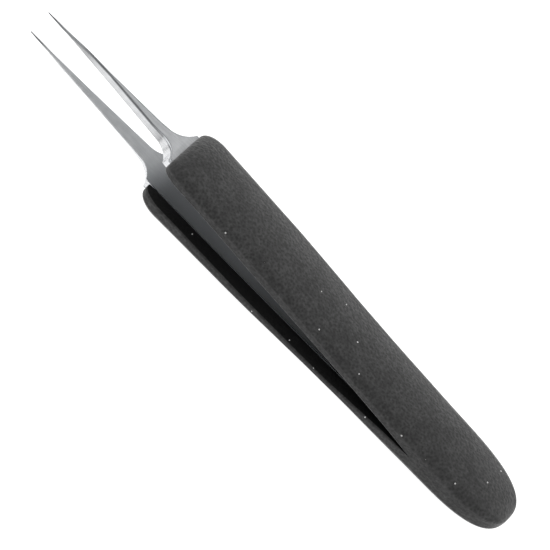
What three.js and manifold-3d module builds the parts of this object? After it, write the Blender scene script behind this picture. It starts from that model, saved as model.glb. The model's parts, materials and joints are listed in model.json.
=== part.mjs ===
// Fine-point precision tweezers with a soft foam grip, lying on the lower arm's grip as on a bench.
//
// Each half is shaped about the tweezers' own middle: x runs from the points (0) to the tail, y runs
// across the blades, and z = 0 is the plane between the two arms, which open along z. The outermost
// group then tips that frame by a few degrees, so that the lower grip rests flush on the ground.
import * as THREE from "three";
import { LoftGeometry } from "three/addons/geometries/LoftGeometry.js";
import { mergeVertices } from "three/addons/utils/BufferGeometryUtils.js";
import Module from "manifold-3d";

const wasm = await Module();
wasm.setup();

// Lengths along x, in millimetres.
const OVERALL_LENGTH = 120;
const GRIP_FRONT = 34; // the bare necks and tines stand out in front of this
const FLEX_LINE = 100; // the arms are welded together behind this, and bend about it
const BLADE_END = 112;
const CLEARANCE = 0.3; // left between pieces that touch on the real object

// The blades: strips of spring steel, ground at the front into necks and needle tines.
const STRIP_WIDTH = 9.4;
const STRIP_THICKNESS = 1.9;
const POINT_OPENING = 3.15; // half of the distance between the open points
const BOW = 2.1; // exponent of the arms' outward bow, 1 for straight arms
const TINE_TIP_WIDTH = 0.1;
const TINE_TAPER = 0.065; // half-width gained per millimetre, on the inner face
const RIDGE_START = 12.5; // in front of this the bevels meet in a ridge
const RIDGE_TAPER = 0.068;
const RIDGE_WIDTH = 0.08;
const SHOULDER_START = 28.6; // where the neck begins to flare into the strip
const SHOULDER_RADIUS = 4;
const BEVEL_LAG = 0.35; // how much further back the outer face flares than the inner one
const THICKNESS_STATIONS = [
  [0, 0.1],
  [6.5, 0.4],
  [10.5, 0.9],
  [26.4, 1.05],
  [30, 1.4],
  [33, STRIP_THICKNESS],
];

// The foam grip: one moulding, with rounded sides, a slot between the arms and a solid round tail.
const GRIP_HALF_WIDTH = 7.1;
const CROWN_START = 38; // behind the rounded front, the crown runs straight
const CROWN_HEIGHT = 7.25; // of the outer face above the middle plane, at CROWN_START
const TAIL_CONTACT = 105; // the tail touches the ground here, and rounds off behind it
const TAIL_HEIGHT = 4.1;
const WAIST_START = 56;
const WAIST_DEPTH = 0.28; // how far the crown dips below its straight line
const FRONT_EDGE_RADIUS = 3.1;
const TAIL_EDGE_RADIUS = 4.3;
const EDGE_RADIUS_GROWS = [50, 90];
const FRONT_ROUNDING = 4.5; // length of the rounded front corner
const FRONT_INSET = 0.24; // share of the section lost at the front face
const TAIL_FULLNESS = 2.6; // exponent of the tail's rounding, 2 for an ellipse
const TAIL_FLAT = 0.12; // share of the section left where the moulding ends
const LIP_FLARE = 1.3; // the slot is this much wider at the grip's sides than at the blades
const CORNER_STEPS = 6; // facets in a quarter round of the grip

// Half of the gap between the blades: a bowed arm's inner face at x, closed at the weld.
function innerFace(x) {
  const open = POINT_OPENING * (1 - (Math.min(x, FLEX_LINE) / FLEX_LINE) ** BOW);
  return Math.max(open, CLEARANCE / 2);
}

// Linear interpolation through [x, value] stations.
function along(stations, x) {
  const next = stations.findIndex(([end]) => end > x);
  if (next === -1) return stations.at(-1)[1];
  if (next === 0) return stations[0][1];
  const [[x0, a], [x1, b]] = [stations[next - 1], stations[next]];
  return a + ((b - a) * (x - x0)) / (x1 - x0);
}

// The concave flare from a neck into the strip, with the curve of a quarter circle.
function shoulder(x, start) {
  const run = Math.min(Math.max(x - start, 0), SHOULDER_RADIUS);
  return SHOULDER_RADIUS - Math.sqrt(SHOULDER_RADIUS ** 2 - run ** 2);
}

function innerHalfWidth(x) {
  const tine = TINE_TIP_WIDTH / 2 + TINE_TAPER * x;
  return Math.min(tine + shoulder(x, SHOULDER_START), STRIP_WIDTH / 2);
}

function outerHalfWidth(x) {
  const ridge = RIDGE_WIDTH / 2 + RIDGE_TAPER * Math.max(x - RIDGE_START, 0);
  return Math.min(ridge + shoulder(x, SHOULDER_START + BEVEL_LAG), STRIP_WIDTH / 2);
}

// How far the grip's rounded front and tail shrink its section at x.
function endScale(x) {
  const front = Math.max((GRIP_FRONT + FRONT_ROUNDING - x) / FRONT_ROUNDING, 0);
  const tail = Math.max((x - TAIL_CONTACT) / (OVERALL_LENGTH - TAIL_CONTACT), 0);
  const frontScale = 1 - FRONT_INSET * (1 - Math.sqrt(Math.max(1 - front ** 2, 0)));
  const tailScale = (1 - Math.min(tail, 1) ** TAIL_FULLNESS) ** (1 / TAIL_FULLNESS);
  return frontScale * Math.max(tailScale, TAIL_FLAT);
}

const crownSlope = (CROWN_HEIGHT - TAIL_HEIGHT) / (TAIL_CONTACT - CROWN_START);

// Height of the grip's outer face above the middle plane: straight, with a shallow waist.
function crown(x) {
  const line = CROWN_HEIGHT - crownSlope * (x - CROWN_START);
  const waist = (x - WAIST_START) / (TAIL_CONTACT - WAIST_START);
  const dip = waist > 0 && waist < 1 ? WAIST_DEPTH * Math.sin(Math.PI * waist) ** 2 : 0;
  return line - dip;
}

function edgeRadius(x) {
  const grown = THREE.MathUtils.smoothstep(x, ...EDGE_RADIUS_GROWS);
  return Math.min(THREE.MathUtils.lerp(FRONT_EDGE_RADIUS, TAIL_EDGE_RADIUS, grown), crown(x) - 0.02);
}

// The grip's full section at x, as [y, z] points counterclockwise from +y towards +z.
function gripSection(x) {
  const scale = endScale(x);
  const radius = edgeRadius(x);
  const side = GRIP_HALF_WIDTH - radius;
  const rise = crown(x) - radius;
  const points = [];
  for (let quarter = 0; quarter < 4; quarter++) {
    const signY = quarter === 0 || quarter === 3 ? 1 : -1;
    const signZ = quarter < 2 ? 1 : -1;
    for (let step = 0; step <= CORNER_STEPS; step++) {
      const angle = ((quarter + step / CORNER_STEPS) * Math.PI) / 2;
      const y = signY * side + radius * Math.cos(angle);
      const z = signZ * rise + radius * Math.sin(angle);
      points.push([y * scale, z * scale]);
    }
  }
  return points;
}

// The slot between the arms: as wide as the blades' gap inside, and flared towards the grip's sides.
function slotSection(x) {
  const inner = innerFace(x);
  const blade = STRIP_WIDTH / 2;
  const beyond = GRIP_HALF_WIDTH + 2;
  const flare = (inner * (LIP_FLARE - 1) * (beyond - blade)) / (GRIP_HALF_WIDTH - blade);
  return [
    [beyond, inner + flare],
    [blade, inner],
    [-blade, inner],
    [-beyond, inner + flare],
    [-beyond, -inner - flare],
    [-blade, -inner],
    [blade, -inner],
    [beyond, -inner - flare],
  ];
}

// One blade's section at x, for the upper arm: a bevelled tine in front, a plain strip behind.
function bladeSection(x) {
  const inner = innerFace(x);
  const outer = inner + along(THICKNESS_STATIONS, x);
  return [
    [innerHalfWidth(x), inner],
    [outerHalfWidth(x), outer],
    [-outerHalfWidth(x), outer],
    [-innerHalfWidth(x), inner],
  ];
}

// The pocket that the foam leaves round one blade, open towards the slot.
function pocketSection(x) {
  const half = STRIP_WIDTH / 2 + CLEARANCE;
  const top = innerFace(x) + STRIP_THICKNESS + CLEARANCE;
  return [
    [half, 0],
    [half, top],
    [-half, top],
    [-half, 0],
  ];
}

// The pocket round both welded blade ends, open towards the arms.
function tangPocketSection() {
  const half = STRIP_WIDTH / 2 + CLEARANCE;
  const top = innerFace(FLEX_LINE) + STRIP_THICKNESS + CLEARANCE;
  return [
    [half, -top],
    [half, top],
    [-half, top],
    [-half, -top],
  ];
}

// Evenly spaced values from one end to the other, both included.
function steps(from, to, count) {
  return Array.from({ length: count + 1 }, (_, i) => from + ((to - from) * i) / count);
}

// A closed solid skinned through the sections at the given stations along x.
function loft(stations, sectionAt) {
  const sections = stations.map((x) => sectionAt(x).map(([y, z]) => new THREE.Vector3(x, y, z)));
  const skin = new THREE.BufferGeometry().copy(new LoftGeometry(sections, { capStart: true, capEnd: true }));
  skin.deleteAttribute("normal");
  skin.deleteAttribute("uv");
  const merged = mergeVertices(skin);
  return new wasm.Manifold(
    new wasm.Mesh({
      numProp: 3,
      vertProperties: merged.attributes.position.array,
      triVerts: new Uint32Array(merged.index.array),
    }),
  );
}

function geometryOf(solid) {
  const { vertProperties, triVerts } = solid.getMesh();
  const geometry = new THREE.BufferGeometry();
  geometry.setAttribute("position", new THREE.BufferAttribute(vertProperties, 3));
  geometry.setIndex(new THREE.BufferAttribute(triVerts, 1));
  geometry.computeVertexNormals();
  return geometry;
}

const armEnd = FLEX_LINE - CLEARANCE / 2;
const tailStart = FLEX_LINE + CLEARANCE / 2;

function bladeArm() {
  const tine = steps(0, 28, 14);
  const neck = steps(SHOULDER_START, 33, 16);
  const strip = steps(36, armEnd, 24);
  return loft([...tine, ...neck, ...strip], bladeSection);
}

function bladeTang() {
  return loft([tailStart, BLADE_END], bladeSection);
}

// The whole moulding, before the slot and the pockets are cut from it.
function gripBlank() {
  const front = steps(GRIP_FRONT, CROWN_START, 6);
  const body = steps(CROWN_START + 6, TAIL_CONTACT, 18);
  const roundEnd = steps(0.12, 1, 9).map(
    (share) => TAIL_CONTACT + (OVERALL_LENGTH - TAIL_CONTACT) * Math.sin((share * Math.PI) / 2),
  );
  return loft([...front, ...body, ...roundEnd], gripSection);
}

// A block that holds everything between two stations along x, and above a height.
function block(from, to, bottom) {
  const reach = 20;
  const outline = () => [
    [reach, bottom],
    [reach, reach],
    [-reach, reach],
    [-reach, bottom],
  ];
  return loft([from, to], outline);
}

const blank = gripBlank();

function gripPad() {
  const pad = blank.intersect(block(GRIP_FRONT - 1, armEnd, 0));
  const cutStations = steps(GRIP_FRONT - 2, FLEX_LINE + 1, 40);
  return pad.subtract(loft(cutStations, slotSection)).subtract(loft(cutStations, pocketSection));
}

function gripTail() {
  const tail = blank.intersect(block(tailStart, OVERALL_LENGTH + 1, -20));
  return tail.subtract(loft([FLEX_LINE - 1, BLADE_END + CLEARANCE], tangPocketSection));
}

function steel() {
  return new THREE.MeshStandardMaterial({ color: 0xc2c4c6, roughness: 0.32, metalness: 1 });
}

function foam() {
  return new THREE.MeshStandardMaterial({ color: 0x2b2c2d, roughness: 0.82, metalness: 0 });
}

function piece(name, solid, material) {
  const mesh = new THREE.Mesh(geometryOf(solid), material);
  mesh.name = name;
  return mesh;
}

// One arm and its welded tang, shaped as the upper one; turned half round x it is the lower one.
function arm(prefix, turn) {
  const half = new THREE.Group();
  half.add(piece(`${prefix}_blade`, bladeArm(), steel()));
  half.add(piece(`${prefix}_blade_tang`, bladeTang(), steel()));
  half.add(piece(`${prefix}_grip_pad`, gripPad(), foam()));
  half.rotation.x = turn;
  return half;
}

const tweezers = new THREE.Group();
tweezers.add(arm("upper", 0), arm("lower", Math.PI));
tweezers.add(piece("tail_grip", gripTail(), foam()));

// Tipped so that the lower crown lies level, then set down on z = 0 with its box centred on the origin.
tweezers.rotation.y = Math.atan(crownSlope);
const box = new THREE.Box3().setFromObject(tweezers, true);
const middle = box.getCenter(new THREE.Vector3());
tweezers.position.set(-middle.x, -middle.y, -box.min.z);

const group = new THREE.Group();
group.add(tweezers);

export default group;
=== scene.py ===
import json
import logging
import math
from dataclasses import dataclass, field
from enum import Enum
from typing import Any, Optional, Sequence

import bmesh
import bpy
from mathutils import Matrix, Vector, noise

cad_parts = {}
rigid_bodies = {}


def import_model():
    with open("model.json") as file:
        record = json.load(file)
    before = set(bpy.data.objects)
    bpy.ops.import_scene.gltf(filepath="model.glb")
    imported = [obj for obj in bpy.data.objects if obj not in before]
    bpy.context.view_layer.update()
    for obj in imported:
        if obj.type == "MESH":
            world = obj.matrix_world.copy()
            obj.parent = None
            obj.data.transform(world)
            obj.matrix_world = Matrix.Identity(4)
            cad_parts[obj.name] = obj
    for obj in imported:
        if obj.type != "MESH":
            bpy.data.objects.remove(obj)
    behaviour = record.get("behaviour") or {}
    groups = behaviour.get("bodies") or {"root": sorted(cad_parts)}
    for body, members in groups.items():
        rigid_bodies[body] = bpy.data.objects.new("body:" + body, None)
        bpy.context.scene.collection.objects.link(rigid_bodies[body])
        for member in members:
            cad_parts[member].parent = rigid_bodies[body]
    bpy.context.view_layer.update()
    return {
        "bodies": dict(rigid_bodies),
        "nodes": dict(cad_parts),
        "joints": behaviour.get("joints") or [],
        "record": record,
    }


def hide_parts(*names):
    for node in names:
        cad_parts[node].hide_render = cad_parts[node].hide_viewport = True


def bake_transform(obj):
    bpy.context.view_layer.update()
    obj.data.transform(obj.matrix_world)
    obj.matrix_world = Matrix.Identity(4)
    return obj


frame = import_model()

MM = 0.001
ROOM_ON_FLAT = 0.45
SHARP_FROM_DEG = 40
MIX_FACTOR, MIX_FROM, MIX_TO, MIX_RESULT = 0, 6, 7, 2
Finishes = tuple[bpy.types.Material, ...]
log = logging.getLogger("tweezers")


# --------------------------------------------------------------------------- placing and meshing


class Side(Enum):
    """The two arms, by the way each one lies from the middle plane. The value is the sign of z and y."""

    UPPER = 1
    LOWER = -1

    @property
    def label(self) -> str:
        """The arm's name as it stands in piece, node and body names."""
        return self.name.lower()


@dataclass(frozen=True)
class BenchPose:
    """Where the tweezers' own axes lie in the row frame.

    The tweezers are shaped in millimetres: x from the points to the tail, y across the blades, and z
    from the middle plane, which tips a little because the lower grip lies flat on the bench.
    """

    flex_point: Vector
    tip_angle: float
    flex_line: float

    @classmethod
    def from_frame(cls, packed: dict[str, Any], flex_line: float) -> "BenchPose":
        """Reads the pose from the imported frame.

        Args:
            flex_line: The distance from the points to the line that the arms bend about, in mm.

        Returns:
            The pose, its tip angle being the mean slope of the two jaws' flat faces.
        """
        axes = {m["name"]: Vector(m["axis"]) for m in packed["record"]["mounts"]}
        opening = axes["lower_jaw_face"] - axes["upper_jaw_face"]
        flex_point = Vector(packed["joints"][0]["pos_m"])
        return cls(flex_point, math.atan2(opening.x, opening.z), flex_line)

    def turn(self, direction: Sequence[float]) -> Vector:
        """A direction in the tweezers' own axes, as it lies in the row frame."""
        return Matrix.Rotation(self.tip_angle, 3, "Y") @ Vector(direction)

    def place(self, x: float, y: float, z: float) -> Vector:
        """A point in the tweezers' own millimetres, as a point of the row frame in metres."""
        return self.flex_point + self.turn((x - self.flex_line, y, z)) * MM


class SteelFace(Enum):
    """Steel finishes, inner face painted darker as shade. The value is the material's place on the piece.
    """

    GROUND = 0
    BEVELLED = 1
    SHADE_PAINTED_INNER = 2
    BURNISHED = 3


class FoamFace(Enum):
    """Foam finishes, the slot painted near-black as shade. The value is the material's place on the piece.
    """

    MOULDED = 0
    CUT = 1


@dataclass(frozen=True)
class Corner:
    """One corner of a section outline, rounded to a radius, and the flat that follows it.

    arc and flat say which material each of the two surfaces gets, painted shade among them. facets
    is the number of facets round the corner, and steps the number along the flat.
    """

    y: float
    z: float
    radius: float
    arc: Enum
    flat: Enum
    facets: int = 4
    steps: int = 1


def smoothstep(low: float, high: float, value: float) -> float:
    """Rises smoothly from 0 at low to 1 at high."""
    share = min(max((value - low) / (high - low), 0.0), 1.0)
    return share * share * (3 - 2 * share)


def spread(start: float, end: float, count: int) -> list[float]:
    """Count values spaced evenly from start up to, but not including, end."""
    return [start + (end - start) * i / count for i in range(count)]


def rounded_outline(corners: Sequence[Corner], support: float) -> list[Vector]:
    """Rounds a closed outline's corners with true arcs.

    Args:
        corners: The corners in order round the outline.
        support: How far from each arc an extra point lies on the flats, to keep them shading flat.

    Returns:
        The (y, z) points, always as many for the same facets and steps, whatever the sizes.
    """
    arcs: list[list[Vector]] = []
    for index, corner in enumerate(corners):
        here = Vector((corner.y, corner.z))
        back = Vector((corners[index - 1].y, corners[index - 1].z)) - here
        following = corners[(index + 1) % len(corners)]
        ahead = Vector((following.y, following.z)) - here
        room = ROOM_ON_FLAT * min(back.length, ahead.length)
        back.normalize()
        ahead.normalize()
        half_angle = back.angle(ahead) / 2
        reach = min(corner.radius / math.tan(half_angle), room)
        flat = min(support, room - ROOM_ON_FLAT * reach)
        start, end, weight = here + back * reach, here + ahead * reach, math.sin(half_angle)
        arc = [start + back * flat]
        for step in range(corner.facets + 1):
            t = step / corner.facets
            a, b, c = (1 - t) ** 2, 2 * weight * t * (1 - t), t * t
            arc.append((start * a + here * b + end * c) / (a + b + c))
        arc.append(end + ahead * flat)
        arcs.append(arc)
    points: list[Vector] = []
    for index, corner in enumerate(corners):
        last, first = arcs[index][-1], arcs[(index + 1) % len(arcs)][0]
        points += arcs[index]
        points += [last.lerp(first, step / corner.steps) for step in range(1, corner.steps)]
    return points


def outline_faces(corners: Sequence[Corner]) -> list[Enum]:
    """Names the surfaces round an outline.

    Args:
        corners: The corners in order round the outline.

    Returns:
        Which material the surface after each point of rounded_outline(corners) gets.
    """
    faces: list[Enum] = []
    for corner in corners:
        faces += [corner.arc] * (corner.facets + 2)
        faces += [corner.flat] * corner.steps
    return faces


def skin_mesh(name: str, rings: Sequence[Sequence[Vector]], faces: Sequence[Enum]) -> bpy.types.Object:
    """Makes one closed body through rings of equal count, with a flat cap at each end.

    Args:
        name: The piece's name.
        rings: The rings' points in the row frame, in metres.
        faces: Which material the surface after each point of a ring gets.

    Returns:
        The new object, linked to the scene and shaded smooth.
    """
    shell = bmesh.new()
    rows = [[shell.verts.new(point) for point in ring] for ring in rings]
    around = len(rows[0])
    for row, following in zip(rows, rows[1:]):
        for i in range(around):
            j = (i + 1) % around
            side = shell.faces.new((row[i], row[j], following[j], following[i]))
            side.material_index = faces[i].value
    shell.faces.new(reversed(rows[0]))
    shell.faces.new(rows[-1])
    bmesh.ops.recalc_face_normals(shell, faces=shell.faces)
    mesh = bpy.data.meshes.new(name)
    shell.to_mesh(mesh)
    shell.free()
    mesh.shade_smooth()
    mesh.set_sharp_from_angle(angle=math.radians(SHARP_FROM_DEG))
    piece = bpy.data.objects.new(name, mesh)
    bpy.context.scene.collection.objects.link(piece)
    return piece


# --------------------------------------------------------------------------- finishes


def linear(srgb: str) -> tuple[float, float, float, float]:
    """An sRGB hex colour such as "#2b2c2d", as linear RGBA."""
    channels = (int(srgb[i : i + 2], 16) / 255 for i in (1, 3, 5))
    return (*(c / 12.92 if c <= 0.04045 else ((c + 0.055) / 1.055) ** 2.4 for c in channels), 1.0)


def per_metre(size_mm: float) -> float:
    """The texture scale, in repeats per metre, of a pattern whose cells are this size."""
    return 1 / (size_mm * MM)


def add_node(
    tree: bpy.types.NodeTree, kind: str, links: Optional[dict[str, Any]] = None, **settings: Any
) -> Any:
    """Adds a shader node.

    Args:
        tree: The tree it goes in.
        kind: The node's type, without its ShaderNode prefix.
        links: Input names or numbers, each with the socket to link or the value to set.
        settings: The node's own settings.

    Returns:
        The node.
    """
    node = tree.nodes.new("ShaderNode" + kind)
    for key, value in settings.items():
        setattr(node, key, value)
    for key, value in (links or {}).items():
        if isinstance(value, bpy.types.NodeSocket):
            tree.links.new(value, node.inputs[key])
        else:
            node.inputs[key].default_value = value
    return node


def blank_material(name: str) -> tuple[bpy.types.Material, bpy.types.NodeTree, Any]:
    """Makes a node material.

    Args:
        name: The material's name.

    Returns:
        The material, its tree and its Principled shader.
    """
    material = bpy.data.materials.new(name)
    material.use_nodes = True
    return material, material.node_tree, material.node_tree.nodes["Principled BSDF"]


@dataclass(frozen=True)
class GroundStainlessSteel:
    """Stainless spring steel, ground along the blade to a satin.

    The eye gets a neutral grey mirror that is well blurred, and more so along faint lengthwise
    grinding lines. It is darker over the first few millimetres of the point. Further along, it is
    painted darker still: painted shade where the foam shades the steel. Unless a face says
    otherwise, that stretch lies inside the foam. The grinding lines are drawn coarser than a real
    belt's, because those are too fine to show.
    """

    name: str = "ground_stainless_steel"
    colour: str = "#c6c7c9"
    worn_colour: str = "#b2b4b6"
    point_and_shade_colour: str = "#75777a"
    painted_shade_mm: tuple[float, float] = (110.0, 112.0)
    point_darker_mm: tuple[float, float] = (1.0, 6.0)
    roughness: float = 0.34
    roughness_swing: float = 0.12
    line_width_mm: float = 0.22
    line_length_mm: float = 9.0
    blotch_mm: float = 1.6
    line_depth_mm: float = 0.004
    bump_strength: float = 0.5
    noise_detail: float = 3.0
    wear_range: tuple[float, float] = (0.12, 0.42)

    def make(self) -> bpy.types.Material:
        """Builds the material.

        Returns:
            The finished material.
        """
        material, tree, shader = blank_material(self.name)
        place = add_node(tree, "TexCoord").outputs["Object"]
        stretch = Vector((self.line_width_mm / self.line_length_mm, 1, 1))
        drawn = add_node(tree, "Mapping", {"Vector": place, "Scale": stretch}).outputs["Vector"]
        detail = self.noise_detail
        line_scale = {"Vector": drawn, "Scale": per_metre(self.line_width_mm), "Detail": detail}
        lines = add_node(tree, "TexNoise", line_scale).outputs["Fac"]
        blotch_scale = {"Vector": place, "Scale": per_metre(self.blotch_mm), "Detail": detail}
        blotches = add_node(tree, "TexNoise", blotch_scale).outputs["Fac"]
        mixed = add_node(tree, "Math", {0: lines, 1: blotches}, operation="MULTIPLY").outputs[0]
        low, high = self.wear_range
        tone = {"Value": mixed, "From Min": low, "From Max": high}
        wear = add_node(tree, "MapRange", tone).outputs["Result"]
        tones = {MIX_FACTOR: wear, MIX_FROM: linear(self.worn_colour), MIX_TO: linear(self.colour)}
        bright = add_node(tree, "Mix", tones, data_type="RGBA").outputs[MIX_RESULT]
        along = add_node(tree, "Attribute", attribute_name="along_mm").outputs["Fac"]
        # Darker over the first few millimetres of the point.
        near, far = self.point_darker_mm
        fade = {"Value": along, "From Min": near, "From Max": far, "To Min": 1.0, "To Max": 0.0}
        point = add_node(tree, "MapRange", fade, interpolation_type="SMOOTHSTEP").outputs["Result"]
        # Painted shade: the steel is painted darker from here on, where the foam shades it.
        near, far = self.painted_shade_mm
        rise = {"Value": along, "From Min": near, "From Max": far}
        strip = add_node(tree, "MapRange", rise, interpolation_type="SMOOTHSTEP").outputs["Result"]
        point_darkening_and_shade = add_node(tree, "Math", {0: point, 1: strip}, operation="ADD").outputs[0]
        # The darker point and the painted shade both mix towards one darker colour.
        tones = {MIX_FACTOR: point_darkening_and_shade, MIX_FROM: bright, MIX_TO: linear(self.point_and_shade_colour)}
        colour = add_node(tree, "Mix", tones, data_type="RGBA").outputs[MIX_RESULT]
        swing = {
            "Value": lines,
            "To Min": self.roughness - self.roughness_swing / 2,
            "To Max": self.roughness + self.roughness_swing / 2,
        }
        rough = add_node(tree, "MapRange", swing).outputs["Result"]
        relief = {"Height": lines, "Distance": self.line_depth_mm * MM, "Strength": self.bump_strength}
        bump = add_node(tree, "Bump", relief)
        tree.links.new(colour, shader.inputs["Base Color"])
        tree.links.new(rough, shader.inputs["Roughness"])
        tree.links.new(bump.outputs["Normal"], shader.inputs["Normal"])
        shader.inputs["Metallic"].default_value = 1.0
        return material


@dataclass(frozen=True)
class SelfSkinnedFoam:
    """Black polyurethane foam with a skin of its own, moulded in a textured tool.

    The eye gets a matt charcoal with a fine leathery grain of shallow pores, cloudy patches where the
    skin set a little thicker, a soft paler edge where it is seen aslant, and a few pale specks.
    The pores are drawn coarser than real ones, which are too fine to show.
    """

    name: str = "self_skinned_foam"
    colour: str = "#353535"
    pore_colour: str = "#1a1a1a"
    speck_colour: str = "#b9b9b9"
    roughness: float = 0.62
    specular_level: float = 0.3
    pore_mm: float = 0.52
    grain_mm: float = 0.36
    cloud_mm: float = 3.6
    speck_pitch_mm: float = 2.1
    speck_mm: float = 0.3
    speck_share: float = 0.34
    relief_mm: float = 0.14
    sheen: float = 0.3
    sheen_roughness: float = 0.4
    ior: float = 1.49
    grain_detail: float = 4.0
    cloud_detail: float = 3.0
    tone_range: tuple[float, float] = (0.03, 0.2)

    def make(self) -> bpy.types.Material:
        """Builds the material.

        Returns:
            The finished material.
        """
        material, tree, shader = blank_material(self.name)
        place = add_node(tree, "TexCoord").outputs["Object"]
        pore_scale = {"Vector": place, "Scale": per_metre(self.pore_mm), "Randomness": 1.0}
        pores = add_node(tree, "TexVoronoi", pore_scale, feature="SMOOTH_F1").outputs["Distance"]
        grain_scale = {"Vector": place, "Scale": per_metre(self.grain_mm), "Detail": self.grain_detail}
        grain = add_node(tree, "TexNoise", grain_scale).outputs["Fac"]
        cloud_scale = {"Vector": place, "Scale": per_metre(self.cloud_mm), "Detail": self.cloud_detail}
        clouds = add_node(tree, "TexNoise", cloud_scale).outputs["Fac"]
        relief = add_node(tree, "Math", {0: pores, 1: grain}, operation="MULTIPLY").outputs[0]
        shade = add_node(tree, "Math", {0: relief, 1: clouds}, operation="MULTIPLY").outputs[0]
        low, high = self.tone_range
        ends = {"Value": shade, "From Min": low, "From Max": high}
        tone = add_node(tree, "MapRange", ends).outputs["Result"]
        tones = {MIX_FACTOR: tone, MIX_FROM: linear(self.pore_colour), MIX_TO: linear(self.colour)}
        skin = add_node(tree, "Mix", tones, data_type="RGBA").outputs[MIX_RESULT]
        pale_specks = self.specks(tree, place)
        tones = {MIX_FACTOR: pale_specks, MIX_FROM: skin, MIX_TO: linear(self.speck_colour)}
        colour = add_node(tree, "Mix", tones, data_type="RGBA").outputs[MIX_RESULT]
        height = {"Height": relief, "Distance": self.relief_mm * MM, "Strength": 1.0}
        bump = add_node(tree, "Bump", height)
        tree.links.new(colour, shader.inputs["Base Color"])
        tree.links.new(bump.outputs["Normal"], shader.inputs["Normal"])
        shader.inputs["Roughness"].default_value = self.roughness
        shader.inputs["IOR"].default_value = self.ior
        shader.inputs["Specular IOR Level"].default_value = self.specular_level
        shader.inputs["Sheen Weight"].default_value = self.sheen
        shader.inputs["Sheen Roughness"].default_value = self.sheen_roughness
        return material

    def specks(self, tree: bpy.types.NodeTree, place: Any) -> Any:
        """Scatters pale specks: one speck in each chosen cell.

        Args:
            tree: The material's tree.
            place: The socket of the surface point.

        Returns:
            A socket that is 1 on a speck and 0 beside it.
        """
        cell_scale = {"Vector": place, "Scale": per_metre(self.speck_pitch_mm)}
        cells = add_node(tree, "TexVoronoi", cell_scale).outputs
        reach = self.speck_mm / 2 / self.speck_pitch_mm
        near = add_node(tree, "Math", {0: cells["Distance"], 1: reach}, operation="LESS_THAN").outputs[0]
        chance = add_node(tree, "SeparateColor", {"Color": cells["Color"]}).outputs["Red"]
        share = {0: chance, 1: self.speck_share}
        chosen = add_node(tree, "Math", share, operation="LESS_THAN").outputs[0]
        return add_node(tree, "Math", {0: near, 1: chosen}, operation="MULTIPLY").outputs[0]


@dataclass(frozen=True)
class LitPaperSweep:
    """White seamless paper on a lit table: an even white floor that throws soft light back up."""

    colour: str = "#909090"
    glow_colour: str = "#ffffff"
    glow: float = 0.97
    roughness: float = 0.9

    def make(self) -> bpy.types.Material:
        """Builds the material.

        Returns:
            The finished material.
        """
        material, _, shader = blank_material("lit_paper_sweep")
        shader.inputs["Base Color"].default_value = linear(self.colour)
        shader.inputs["Roughness"].default_value = self.roughness
        shader.inputs["Emission Color"].default_value = linear(self.glow_colour)
        shader.inputs["Emission Strength"].default_value = self.glow
        return material


# --------------------------------------------------------------------------- the tweezers


@dataclass(frozen=True)
class ArmBow:
    """The curve of both arms, in mm: bowed apart in front, and closed where they are welded."""

    flex_line: float = 100.0
    point_opening: float = 3.15
    exponent: float = 2.1
    weld_gap: float = 0.01

    def inner_face(self, x: float) -> float:
        """Height of an arm's inner face above the middle plane at x."""
        share = min(x, self.flex_line) / self.flex_line
        return max(self.point_opening * (1 - share**self.exponent), self.weld_gap)


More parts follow.
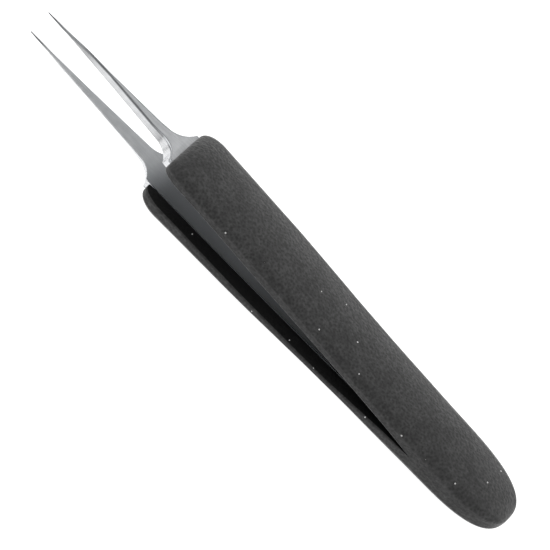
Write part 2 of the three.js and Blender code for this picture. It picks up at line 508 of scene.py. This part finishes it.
@dataclass(frozen=True)
class SpringBlade:
    """One blade, from its needle point to its welded end inside the foam, in mm."""

    side: Side
    bow: ArmBow = field(default_factory=ArmBow)
    length: float = 112.0
    width: float = 9.4
    thickness: float = 1.9
    tine_thickness: float = 1.05
    point_size: float = 0.14
    point_grind: tuple[float, float] = (2.5, 11.5)
    tine_swell: float = 0.008
    tine_taper: float = 0.065
    ridge_start: float = 15.0
    ridge_taper: float = 0.067
    ridge_width: float = 0.44
    neck_start: float = 26.4
    neck_end: float = 33.0
    neck_hollow: float = 1.5
    shoulder_start: float = 29.2
    shoulder_radius: float = 4.0
    bevel_lag: float = 0.35
    outer_edge_radius: float = 0.38
    outer_edge_share: float = 0.4
    outer_edge_facets: int = 8
    inner_edge_radius: float = 0.1
    inner_edge_share: float = 0.25
    tine_steps: int = 58
    shoulder_steps: int = 44
    strip_steps: int = 79

    def shoulder(self, x: float, start: float) -> float:
        """Half-width that the concave flare from neck to strip adds at x."""
        run = min(max(x - start, 0.0), self.shoulder_radius)
        return self.shoulder_radius - math.sqrt(self.shoulder_radius**2 - run**2)

    def inner_half_width(self, x: float) -> float:
        """Half-width of the flat inner face at x."""
        tine = self.point_size / 2 + self.tine_taper * x
        return min(tine + self.shoulder(x, self.shoulder_start), self.width / 2)

    def outer_half_width(self, x: float) -> float:
        """Finds how wide the outer face is, down to a ridge between the bevels near the point.

        Args:
            x: The station.

        Returns:
            The outer face's half-width there.
        """
        ridge = self.ridge_width / 2 + self.ridge_taper * max(x - self.ridge_start, 0.0)
        flare = self.shoulder(x, self.shoulder_start + self.bevel_lag)
        return min(ridge + flare, self.width / 2, self.inner_half_width(x))

    def depth(self, x: float) -> float:
        """Finds the blade's depth, hollow-ground from strip to tine, then ground to the point.

        Args:
            x: The station.

        Returns:
            The blade's thickness there.
        """
        swell = self.tine_swell * min(x, self.neck_start)
        full_grind = self.tine_thickness - self.point_size - self.tine_swell * self.neck_start
        tine = self.point_size + swell + full_grind * smoothstep(*self.point_grind, x)
        neck = min(max((x - self.neck_start) / (self.neck_end - self.neck_start), 0.0), 1.0)
        return tine + (self.thickness - self.tine_thickness) * neck**self.neck_hollow

    def corners(self, x: float) -> list[Corner]:
        """Lays out the blade's section, with its ground edges broken.

        Args:
            x: The station.

        Returns:
            The section's four corners, in order round it.
        """
        inner = self.bow.inner_face(x)
        outer = inner + self.depth(x)
        near, far = self.inner_half_width(x), self.outer_half_width(x)
        inner_edge = min(self.inner_edge_radius, self.inner_edge_share * near)
        outer_edge = min(self.outer_edge_radius, self.outer_edge_share * self.depth(x))
        ground, bevelled, facets = SteelFace.GROUND, SteelFace.BEVELLED, self.outer_edge_facets
        return [
            Corner(near, inner, inner_edge, bevelled, bevelled),
            Corner(far, outer, outer_edge, SteelFace.BURNISHED, ground, facets),
            Corner(-far, outer, outer_edge, SteelFace.BURNISHED, bevelled, facets),
            # The flat after this corner is the inner face: steel painted darker as shade.
            Corner(-near, inner, inner_edge, bevelled, SteelFace.SHADE_PAINTED_INNER),
        ]

    def stations(self) -> list[float]:
        """Chooses where along x the section is taken, close together at the shoulder.

        Returns:
            The stations, from the point to the welded end.
        """
        shoulder_end = self.shoulder_start + self.bevel_lag + self.shoulder_radius
        tine = spread(0.0, self.shoulder_start, self.tine_steps)
        shoulder = spread(self.shoulder_start, shoulder_end, self.shoulder_steps)
        strip = spread(shoulder_end, self.length, self.strip_steps)
        return [*tine, *shoulder, *strip, self.length]

    def build(self, pose: BenchPose) -> bpy.types.Object:
        """Makes the blade's mesh.

        Args:
            pose: Where the tweezers lie.

        Returns:
            The piece, named for its arm.
        """
        s = self.side.value
        stations = self.stations()
        sections = [rounded_outline(self.corners(x), self.inner_edge_radius) for x in stations]
        rings = [[pose.place(x, s * y, s * z) for y, z in ring] for x, ring in zip(stations, sections)]
        piece = skin_mesh(f"{self.side.label}_spring_blade", rings, outline_faces(self.corners(0.0)))
        along = piece.data.attributes.new("along_mm", "FLOAT", "POINT")
        along.data.foreach_set("value", [x for x, ring in zip(stations, rings) for _ in ring])
        return piece


@dataclass(frozen=True)
class FoamGripHalf:
    """One arm's foam with its half of the tail, in mm. The two halves meet in the tail's parting line."""

    side: Side
    blade: SpringBlade
    front: float = 34.0
    tail_end: float = 120.0
    half_width: float = 7.1
    crown_start: float = 38.0
    crown_height: float = 7.25
    tail_contact: float = 105.0
    tail_height: float = 4.1
    waist_start: float = 56.0
    waist_depth: float = 0.6
    front_edge_radius: float = 2.6
    tail_edge_radius: float = 3.4
    edge_grows_mm: tuple[float, float] = (50.0, 90.0)
    edge_share: float = 0.9
    front_rounding: float = 4.5
    front_inset: float = 0.28
    tail_fullness: float = 2.6
    crown_radius: float = 22.0
    lip_flare: float = 0.3
    lip_closing: float = 1.2
    lip_twist: float = 0.6
    twist_mm: tuple[float, float] = (40.0, 62.0)
    lip_radius: float = 0.4
    lip_share: float = 0.5
    parting_gap: float = 0.005
    pocket_fit: float = 0.03
    pocket_share: float = 0.7
    pocket_end: float = 112.3
    groove_depth: float = 0.03
    unevenness: float = 0.05
    swell_mm: float = 6.0
    edge_facets: int = 14
    crown_steps: int = 12
    side_steps: int = 4
    lip_steps: int = 3
    pocket_facets: int = 2
    front_steps: int = 12
    arm_steps: int = 80
    tail_steps: int = 44
    tail_turn: float = 0.985

    def end_scale(self, x: float) -> float:
        """Rounds off the grip's front and tail.

        Args:
            x: The station.

        Returns:
            The share of its full size that the section has there.
        """
        front = max((self.front + self.front_rounding - x) / self.front_rounding, 0.0)
        tail = min(max((x - self.tail_contact) / (self.tail_end - self.tail_contact), 0.0), 1.0)
        front_scale = 1 - self.front_inset * (1 - math.sqrt(max(1 - front**2, 0.0)))
        return front_scale * (1 - tail**self.tail_fullness) ** (1 / self.tail_fullness)

    def crown(self, x: float) -> float:
        """Finds the outer face, with its shallow waist, before the ends' rounding.

        Args:
            x: The station.

        Returns:
            The outer face's height above the middle plane there.
        """
        slope = (self.crown_height - self.tail_height) / (self.tail_contact - self.crown_start)
        waist = min(max((x - self.waist_start) / (self.tail_contact - self.waist_start), 0.0), 1.0)
        dip = self.waist_depth * math.sin(math.pi * waist) ** 2
        return self.crown_height - slope * (x - self.crown_start) - dip

    def edge_radius(self, x: float) -> float:
        """Radius of the rounding between the outer face and the sides at x."""
        grown = smoothstep(*self.edge_grows_mm, x)
        return self.front_edge_radius + (self.tail_edge_radius - self.front_edge_radius) * grown

    def corners(self, x: float) -> list[Corner]:
        """Lays out the half's section: a channel round the blade, and solid behind it.

        Args:
            x: The station.

        Returns:
            The section's eight corners, in order round it.
        """
        scale = self.end_scale(x)
        wide, high = self.half_width * scale, self.crown(x) * scale
        inner = max(self.blade.bow.inner_face(x), self.parting_gap)
        pocket = min(self.blade.width / 2 + self.pocket_fit, self.pocket_share * wide)
        flare = self.lip_flare * (wide - pocket) * min(inner / self.lip_closing, 1.0)
        twist = self.lip_twist * smoothstep(*self.twist_mm, x)
        lip, other_lip = inner + flare * (1 + twist), inner + flare * (1 - twist)
        pocket_depth = self.blade.thickness + self.pocket_fit
        closing = smoothstep(self.blade.length + self.pocket_fit, self.pocket_end, x)
        roof = inner + pocket_depth + (self.groove_depth - pocket_depth) * closing
        edge = min(self.edge_radius(x) * scale, self.edge_share * (high - lip))
        lip_corner = min(self.lip_radius, self.lip_share * lip) if x < self.blade.bow.flex_line else 0.0
        # The slot's lips and pocket take the foam painted near-black, as painted shade in the narrow slot.
        moulded, slot_shade, fit = FoamFace.MOULDED, FoamFace.CUT, self.pocket_fit
        return [
            Corner(wide, lip, lip_corner, moulded, moulded, steps=self.side_steps),
            Corner(wide, high, edge, moulded, moulded, self.edge_facets, self.crown_steps),
            Corner(-wide, high, edge, moulded, moulded, self.edge_facets, self.side_steps),
            Corner(-wide, other_lip, lip_corner, moulded, slot_shade, steps=self.lip_steps),
            Corner(-pocket, inner, fit, slot_shade, slot_shade, self.pocket_facets),
            Corner(-pocket, roof, fit, slot_shade, slot_shade, self.pocket_facets),
            Corner(pocket, roof, fit, slot_shade, slot_shade, self.pocket_facets),
            Corner(pocket, inner, fit, slot_shade, slot_shade, self.pocket_facets, self.lip_steps),
        ]

    def section(self, x: float) -> list[Vector]:
        """Rounds the half's section, its outer face crowned and a little uneven.

        Args:
            x: The station.

        Returns:
            The section's (y, z) points.
        """
        corners = self.corners(x)
        lip, high = max(corners[0].z, corners[3].z), corners[1].z
        return [self.shaped(x, y, z, lip, high) for y, z in rounded_outline(corners, self.pocket_fit)]

    def shaped(self, x: float, y: float, z: float, lip: float, high: float) -> Vector:
        """The section point (y, z) at x as the mould and the setting foam leave it.

        Args:
            x: The station.
            y: The point's place across.
            z: The point's height on the plain outline.
            lip: The height of the slot's lip there.
            high: The height of the outer face there.

        Returns:
            The point eased down towards the sides, so that the outer face is an arc, and drawn in a
            little where the foam set unevenly.
        """
        s = self.side.value
        drop = self.crown_radius - math.sqrt(self.crown_radius**2 - y**2)
        z -= drop * smoothstep(lip, high, z)
        swell = 0.5 + 0.5 * noise.noise(Vector((x, s * y, s * z)) / self.swell_mm)
        outside = smoothstep(self.blade.width / 2, self.half_width, math.hypot(y, z))
        clear = smoothstep(0.0, self.lip_radius, z - self.parting_gap)
        return Vector((y, z)) * (1 - self.unevenness * swell * outside * clear / self.half_width)

    def stations(self) -> list[float]:
        """Chooses where along x the section is taken, close together where the ends round off.

        Returns:
            The stations, from the front of the grip to its tail.
        """
        turn = [1 - math.cos(angle) for angle in spread(0.0, math.pi / 2, self.front_steps)]
        front = [self.front + self.front_rounding * t for t in turn]
        arm = spread(self.front + self.front_rounding, self.tail_contact, self.arm_steps)
        angles = spread(0.0, math.pi / 2 * self.tail_turn, self.tail_steps)
        reach = self.tail_end - self.tail_contact
        return [*front, *arm, *(self.tail_contact + reach * math.sin(a) for a in angles)]

    def build(self, pose: BenchPose) -> bpy.types.Object:
        """Makes the half's mesh.

        Args:
            pose: Where the tweezers lie.

        Returns:
            The piece, named for its arm.
        """
        s = self.side.value
        rings = [[pose.place(x, s * y, s * z) for y, z in self.section(x)] for x in self.stations()]
        return skin_mesh(f"{self.side.label}_foam_grip", rings, outline_faces(self.corners(self.front)))


@dataclass(frozen=True)
class TweezerArm:
    """One sprung arm as it is seen: a blade, and the foam moulded over it."""

    side: Side
    bend_from: float = 101.0
    bend_to: float = 64.0

    def build(self, pose: BenchPose, steels: Finishes, foams: Finishes) -> None:
        """Makes and dresses the arm's pieces, and hides the CAD nodes that they stand for.

        Args:
            pose: Where the tweezers lie.
            steels: The blade's materials, in the order that SteelFace gives them.
            foams: The grip's materials, in the order that FoamFace gives them.
        """
        blade = SpringBlade(self.side)
        grip = FoamGripHalf(self.side, blade)
        label = self.side.label
        strip = blade.build(pose)
        self.hang(strip, steels, (f"{label}_blade", f"{label}_blade_tang"))
        moulding = grip.build(pose)
        self.hang(moulding, foams, (f"{label}_grip_pad", "tail_grip"))

    def hang(
        self, piece: bpy.types.Object, finishes: Finishes, nodes: Sequence[str]
    ) -> None:
        """Gives a piece its materials, bakes its placement and hides the CAD nodes that it stands for.

        Args:
            piece: The piece.
            finishes: Its materials.
            nodes: The CAD nodes that it stands for.
        """
        for material in finishes:
            piece.data.materials.append(material)
        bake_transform(piece)
        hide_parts(*nodes)
        log.info("%s: %d faces", piece.name, len(piece.data.polygons))


# --------------------------------------------------------------------------- the studio


@dataclass(frozen=True)
class Softbox:
    """One soft patch of light in the room, by where it stands and how far it reaches.

    azimuth_deg turns from +X towards +Y, and full_deg and edge_deg are the angles from its middle
    within which it is fully bright and beyond which it is gone.
    """

    azimuth_deg: float
    elevation_deg: float
    full_deg: float
    edge_deg: float
    light: float

    @property
    def way(self) -> tuple[float, float, float]:
        """Finds the direction of the softbox's middle.

        Returns:
            The direction's x, y and z, of length 1.
        """
        azimuth, elevation = math.radians(self.azimuth_deg), math.radians(self.elevation_deg)
        level = math.cos(elevation)
        return level * math.cos(azimuth), level * math.sin(azimuth), math.sin(elevation)


@dataclass(frozen=True)
class SoftRoom:
    """The room's light: a white horizon, pale walls behind, a dim ceiling and a few softboxes.

    horizon_height and wall_height are heights on a unit sphere, and behind_y is how far the walls
    behind reach round it.
    """

    ceiling_light: float = 0.1
    horizon_light: float = 1.1
    horizon_height: float = 0.06
    wall_light: float = 1.8
    wall_height: tuple[float, float] = (0.25, 0.6)
    behind_y: tuple[float, float] = (-0.2, 0.6)
    softboxes: tuple[Softbox, ...] = (
        Softbox(90, 42, 20, 62, 0.55),
        Softbox(0, 52, 14, 36, 1.8),
        Softbox(180, 52, 14, 36, 1.8),
        Softbox(-12, 16, 14, 28, 1.2),
        Softbox(-90, 36, 11, 20, 0.85),
        Softbox(-90, 12, 9, 18, 0.5),
        Softbox(-113, 33, 8, 18, 0.45),
        Softbox(-138, 28, 18, 30, 1.15),
    )

    def build(self) -> None:
        """Makes the world and its shader, as a sum of terms that each depend on direction alone."""
        world = bpy.data.worlds.new("studio")
        bpy.context.scene.world = world
        world.use_nodes = True
        tree = world.node_tree
        way = add_node(tree, "TexCoord").outputs["Generated"]
        parts = add_node(tree, "SeparateXYZ", {"Vector": way}).outputs
        fades: list[tuple[Any, float, float, float, float]] = [
            (parts["Z"], 0.0, self.horizon_height, self.horizon_light, 0.0),
            (parts["Z"], *self.wall_height, self.wall_light, 0.0),
            (parts["Y"], *self.behind_y, 0.0, 1.0),
        ]
        for box in self.softboxes:
            toward = add_node(tree, "VectorMath", {0: way, 1: box.way}, operation="DOT_PRODUCT")
            edge, full = math.cos(math.radians(box.edge_deg)), math.cos(math.radians(box.full_deg))
            fades.append((toward.outputs["Value"], edge, full, 0.0, box.light))
        lights = []
        for value, low, high, at_low, at_high in fades:
            fade = {"Value": value, "From Min": low, "From Max": high, "To Min": at_low, "To Max": at_high}
            ramp = add_node(tree, "MapRange", fade, interpolation_type="SMOOTHSTEP")
            lights.append(ramp.outputs["Result"])
        horizon, wall, behind, *boxes = lights
        walls = add_node(tree, "Math", {0: wall, 1: behind}, operation="MULTIPLY").outputs[0]
        total: Any = self.ceiling_light
        for light in (horizon, walls, *boxes):
            total = add_node(tree, "Math", {0: total, 1: light}, operation="ADD").outputs[0]
        background = tree.nodes["Background"]
        tree.links.new(total, background.inputs["Strength"])
        background.inputs["Color"].default_value = (1, 1, 1, 1)


@dataclass(frozen=True)
class Studio:
    """A lit white sweep in a soft room, and a long-lens camera."""

    floor_half_size: float = 6.0
    roll_deg: float = 46.8
    lean_deg: float = 45.0
    aim_mm: float = 60.7
    aim_across_mm: float = -0.3
    field_mm: float = 96.6
    distance: float = 0.9
    sensor_mm: float = 36.0
    sight_range: tuple[float, float] = (0.01, 20.0)

    def lay_floor(self) -> None:
        """Lays the white floor at the height of the bench."""
        size = self.floor_half_size
        mesh = bpy.data.meshes.new("floor")
        corners = [(-size, -size, 0), (size, -size, 0), (size, size, 0), (-size, size, 0)]
        mesh.from_pydata(corners, [], [(0, 1, 2, 3)])
        floor = bpy.data.objects.new("floor", mesh)
        mesh.materials.append(LitPaperSweep().make())
        bpy.context.scene.collection.objects.link(floor)

    def place_camera(self, pose: BenchPose) -> None:
        """Makes the camera, square to the tweezers' length and rolled.

        Args:
            pose: Where the tweezers lie.
        """
        lean, roll = math.radians(self.lean_deg), math.radians(self.roll_deg)
        length = pose.turn((1, 0, 0))
        across = pose.turn((0, math.cos(lean), math.sin(lean)))
        back = pose.turn((0, -math.sin(lean), math.cos(lean)))
        right = math.cos(roll) * length + math.sin(roll) * across
        up = math.cos(roll) * across - math.sin(roll) * length
        aim = pose.place(self.aim_mm, 0, 0) + across * self.aim_across_mm * MM
        data = bpy.data.cameras.new("camera")
        data.sensor_width = self.sensor_mm
        data.lens = self.sensor_mm * self.distance / (self.field_mm * MM)
        data.clip_start, data.clip_end = self.sight_range
        camera = bpy.data.objects.new("camera", data)
        turn = Matrix((right, up, back)).transposed().to_4x4()
        camera.matrix_world = Matrix.Translation(aim + back * self.distance) @ turn
        bpy.context.scene.collection.objects.link(camera)
        bpy.context.scene.camera = camera


def blade_finishes() -> Finishes:
    """Makes the blade's materials.

    Returns:
        The materials, in the order that SteelFace gives them.
    """
    faces = GroundStainlessSteel()
    # Painted shade on the bevels from 33.8 mm on, where the blade goes into the foam.
    bevels = GroundStainlessSteel(
        name="bevel_ground_steel",
        colour="#e2e3e4",
        worn_colour="#cbccce",
        painted_shade_mm=(33.8, 35.0),
        roughness=0.26,
    )
    # Painted shade: a darker copy of the steel for the inner faces, darker still from 29 mm into the slot.
    shade_painted_inner = GroundStainlessSteel(
        name="shade_painted_inner_steel",
        colour="#b8babc",
        worn_colour="#a8aaac",
        point_and_shade_colour="#787a7c",
        painted_shade_mm=(29.0, 38.0),
    )
    # Painted shade on the ridges too, from 33.8 mm on, where the foam covers them.
    ridges = GroundStainlessSteel(
        name="burnished_edge_steel",
        colour="#a9abad",
        worn_colour="#97999b",
        painted_shade_mm=(33.8, 35.0),
        roughness=0.16,
    )
    return tuple(finish.make() for finish in (faces, bevels, shade_painted_inner, ridges))


def grip_finishes() -> Finishes:
    """Makes the foam's materials.

    Returns:
        The materials, in the order that FoamFace gives them.
    """
    moulded = SelfSkinnedFoam()
    # Painted shade: the slot's faces are painted near-black for the shade between the halves, with no
    # sheen and little specular.
    slot_shade = SelfSkinnedFoam(
        name="slot_shade_foam", colour="#0a0a0a", pore_colour="#050505", specular_level=0.15, sheen=0.0
    )
    return tuple(finish.make() for finish in (moulded, slot_shade))


def main() -> None:
    """Builds the studio, then both arms."""
    logging.basicConfig(level=logging.INFO, format="%(name)s: %(message)s")
    bpy.context.scene.view_settings.view_transform = "Standard"
    pose = BenchPose.from_frame(frame, ArmBow().flex_line)
    studio = Studio()
    studio.place_camera(pose)
    studio.lay_floor()
    SoftRoom().build()
    steels, foams = blade_finishes(), grip_finishes()
    for side in Side:
        TweezerArm(side).build(pose, steels, foams)


if __name__ == "__main__":
    main()
